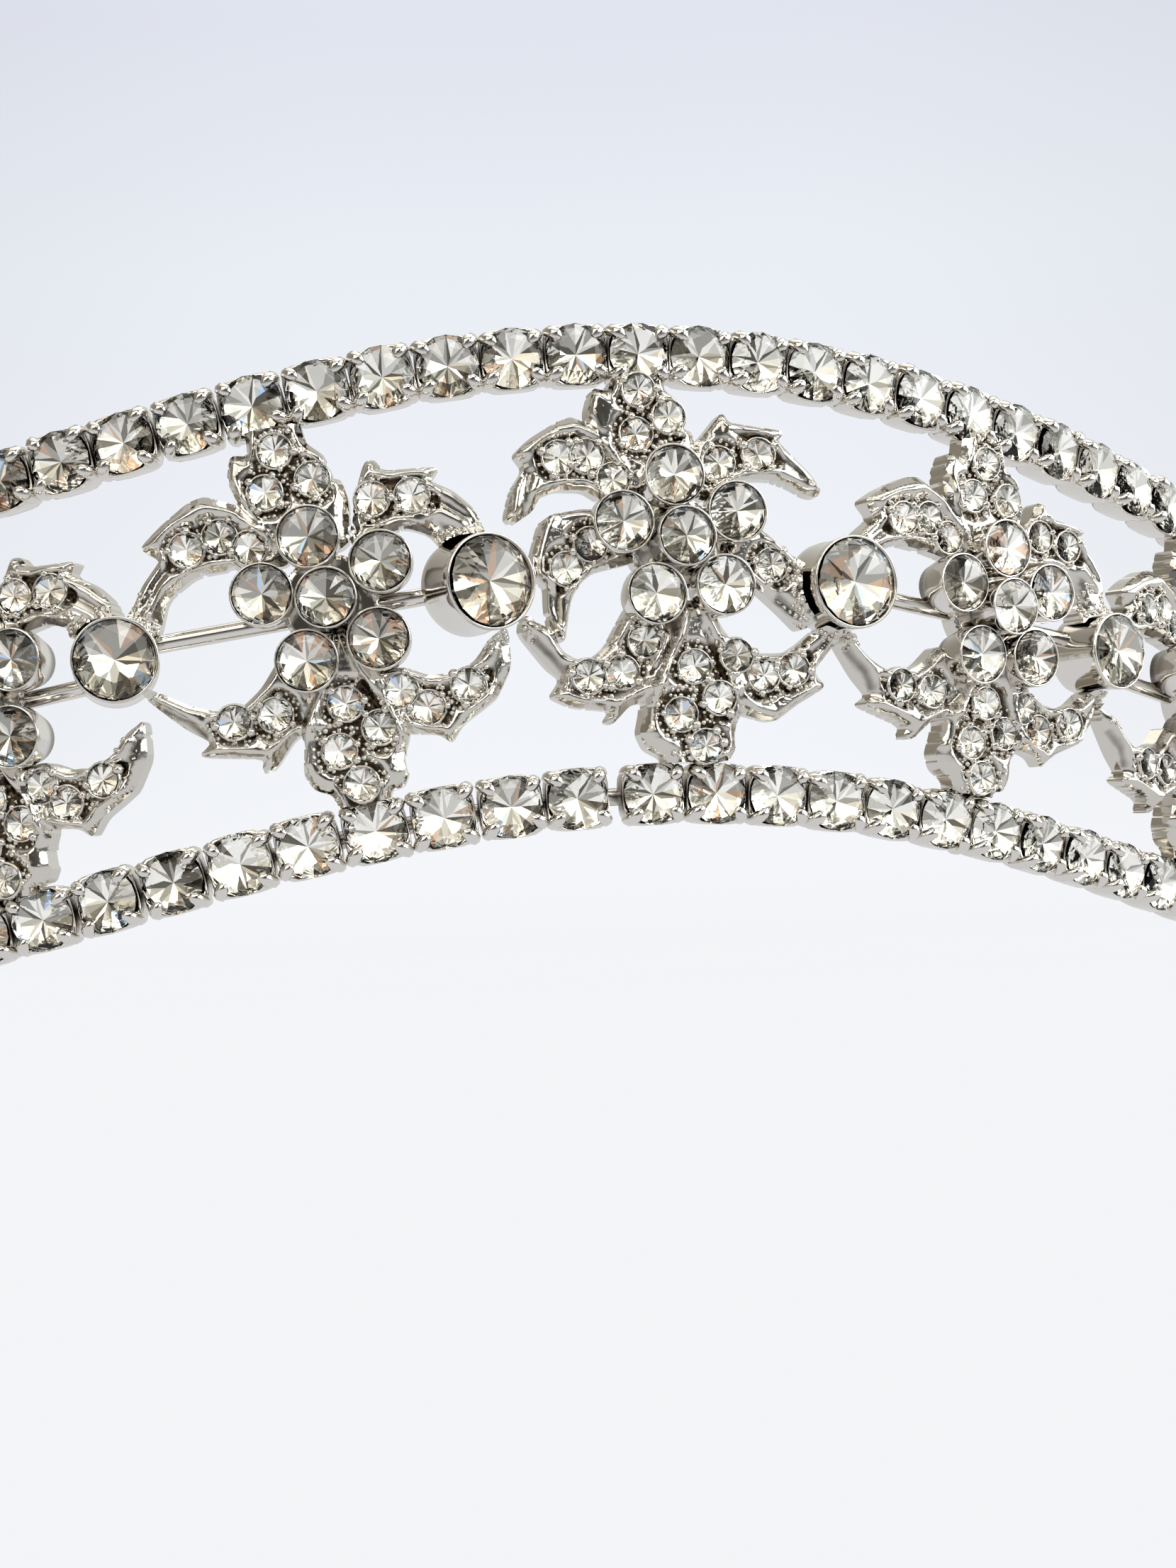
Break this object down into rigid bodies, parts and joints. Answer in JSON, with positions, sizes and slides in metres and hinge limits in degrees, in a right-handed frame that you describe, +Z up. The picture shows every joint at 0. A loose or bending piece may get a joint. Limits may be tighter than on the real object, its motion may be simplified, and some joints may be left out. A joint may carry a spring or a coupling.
{
  "type": "tiara",
  "caption": "Silver-plated tiara: two arched rows of clear cupped stones joined by pierced leaf castings with flower clusters and large stones in tubes, and a plain loop at each end.",
  "frame": {"origin": "centre of the bounding box in X and Y, on the surface that it stands on", "axes": "+Z up, -Y towards the front, +X to the wearer's left"},
  "size_m": [0.163, 0.0834, 0.0373],
  "materials": {
    "silver": "bright silver plate, darkened in the recesses",
    "paste": "polished facets with a foil back"
  },
  "bodies": {
    "root": {"upper_row": "silver", "lower_row": "silver", "upper_row_stones": "paste", "lower_row_stones": "paste", "flower_stones": "paste", "leaf_casting_1": "silver", "leaf_casting_2": "silver", "leaf_casting_3": "silver", "leaf_casting_4": "silver", "leaf_casting_5": "silver", "leaf_casting_6": "silver", "leaf_casting_7": "silver", "leaf_casting_8": "silver", "leaf_casting_9": "silver", "leaf_casting_10": "silver", "leaf_casting_11": "silver", "collet_1": "silver", "collet_2": "silver", "collet_3": "silver", "collet_4": "silver", "collet_5": "silver", "collet_6": "silver", "collet_7": "silver", "collet_8": "silver", "collet_9": "silver", "collet_10": "silver", "collet_11": "silver", "collet_12": "silver", "large_stone_1": "paste", "large_stone_2": "paste", "large_stone_3": "paste", "large_stone_4": "paste", "large_stone_5": "paste", "large_stone_6": "paste", "large_stone_7": "paste", "large_stone_8": "paste", "large_stone_9": "paste", "large_stone_10": "paste", "large_stone_11": "paste", "large_stone_12": "paste", "end_loop_left": "silver", "end_loop_right": "silver"}
  },
  "joints": []
}
